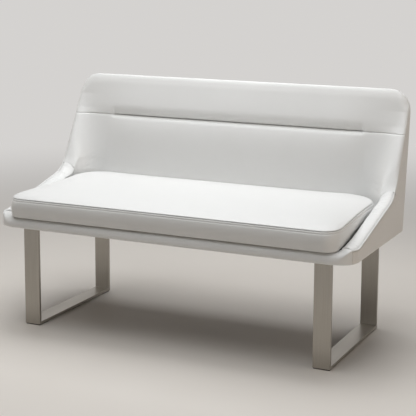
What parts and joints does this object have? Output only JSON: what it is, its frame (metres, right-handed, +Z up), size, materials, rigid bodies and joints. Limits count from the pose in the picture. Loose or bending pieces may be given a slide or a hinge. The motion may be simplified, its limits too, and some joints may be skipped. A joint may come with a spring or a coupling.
{
  "type": "high back dining bench",
  "caption": "Upholstered high back dining bench with low wrapping sides, a boxed seat cushion and flat bar sled legs.",
  "frame": {"origin": "on the floor, under the middle of the bench", "axes": "+X along the bench, to the right as seen from the front; +Y from the front of the seat to the back; +Z up"},
  "size_m": [1.32, 0.622, 0.8529],
  "materials": {
    "upholstery": "soft satin",
    "panel_cover": "soft satin",
    "lining_cloth": "matt",
    "plywood": "sanded",
    "hardwood": "planed",
    "leg_steel": "brushed along the bar",
    "zinc": "zinc plated",
    "glide_rubber": "matt"
  },
  "bodies": {
    "root": {"seat_cushion": "upholstery", "cushion_board": "plywood", "cushion_screws": "zinc", "back_lower_pad": "upholstery", "back_upper_pad": "upholstery", "side_band_left": "upholstery", "side_band_right": "upholstery", "side_welt_left": "upholstery", "side_welt_right": "upholstery", "side_panel_left": "panel_cover", "side_panel_right": "panel_cover", "outer_back_panel": "panel_cover", "front_lip": "upholstery", "dust_cover": "lining_cloth", "seat_deck": "plywood", "front_rail": "hardwood", "rear_rail": "hardwood", "side_rail_left": "hardwood", "side_rail_right": "hardwood", "leg_rail_left": "hardwood", "leg_rail_right": "hardwood", "centre_rail": "hardwood", "corner_blocks": "hardwood", "rail_dowels": "hardwood", "side_board_left": "plywood", "side_board_right": "plywood", "back_board": "plywood", "frame_screws": "zinc", "leg_frame_left": "leg_steel", "leg_frame_right": "leg_steel", "glide_pads": "glide_rubber", "leg_bolts": "zinc", "leg_washers": "zinc", "tee_nuts": "zinc"}
  },
  "joints": []
}
